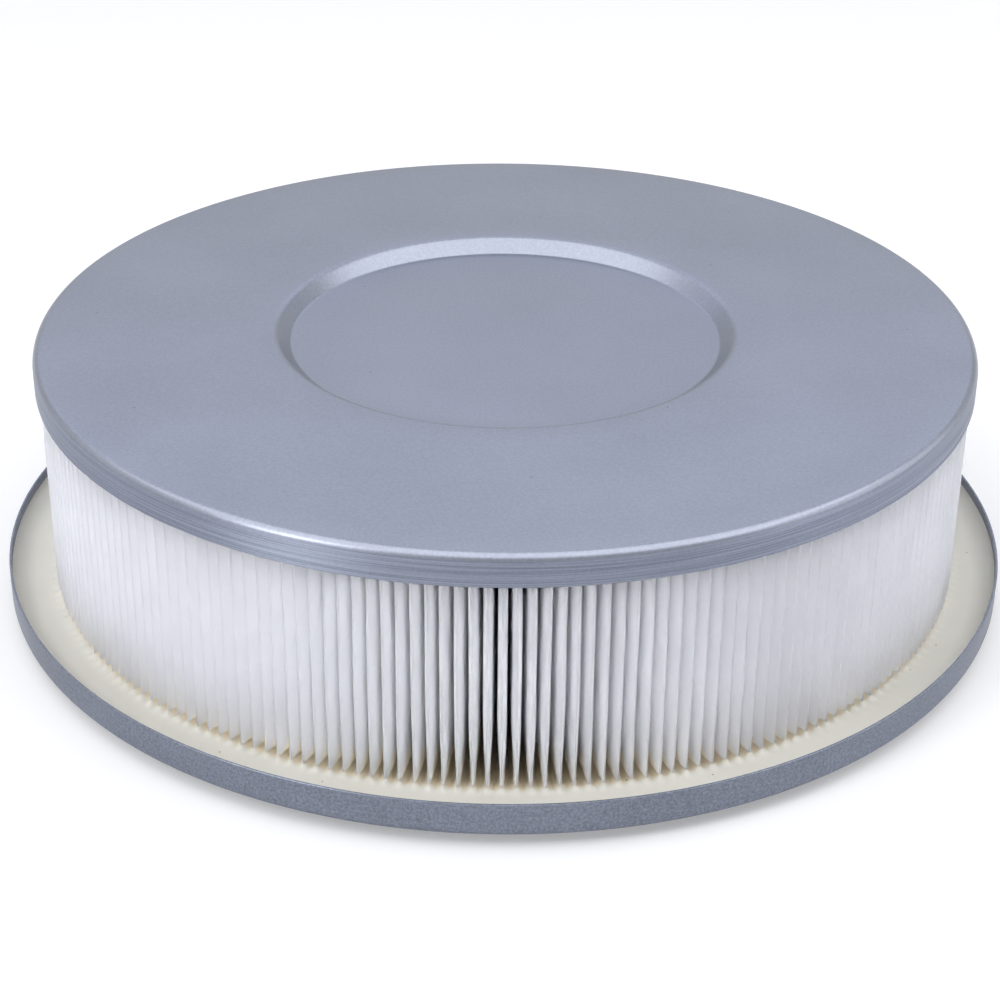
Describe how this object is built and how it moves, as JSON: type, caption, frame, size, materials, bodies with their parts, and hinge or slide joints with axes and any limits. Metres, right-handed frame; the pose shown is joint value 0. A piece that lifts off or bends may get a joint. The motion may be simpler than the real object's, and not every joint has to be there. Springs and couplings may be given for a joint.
{
  "type": "vacuum hepa filter",
  "caption": "Round pleated paper filter between a closed steel cap with a shallow recess and a wider open steel flange pan, potted in cream resin.",
  "frame": {"origin": "on the filter's axis, at the underside of the flange gasket", "axes": "+Z along the filter's axis, from the open flange up to the closed cap; X and Y in the plane of the flange"},
  "size_m": [0.2615, 0.2614, 0.0685],
  "materials": {
    "zinc_steel": "zinc-coated sheet steel, satin",
    "filter_paper": "white glass-fibre filter paper, matt",
    "potting_resin": "cream poured polyurethane, satin",
    "gasket_foam": "black closed-cell foam, matt"
  },
  "bodies": {
    "root": {"top_end_cap": "zinc_steel", "bottom_end_cap": "zinc_steel", "inner_liner": "zinc_steel", "pleated_media": "filter_paper", "bottom_potting": "potting_resin", "top_potting": "potting_resin", "flange_gasket": "gasket_foam"}
  },
  "joints": []
}
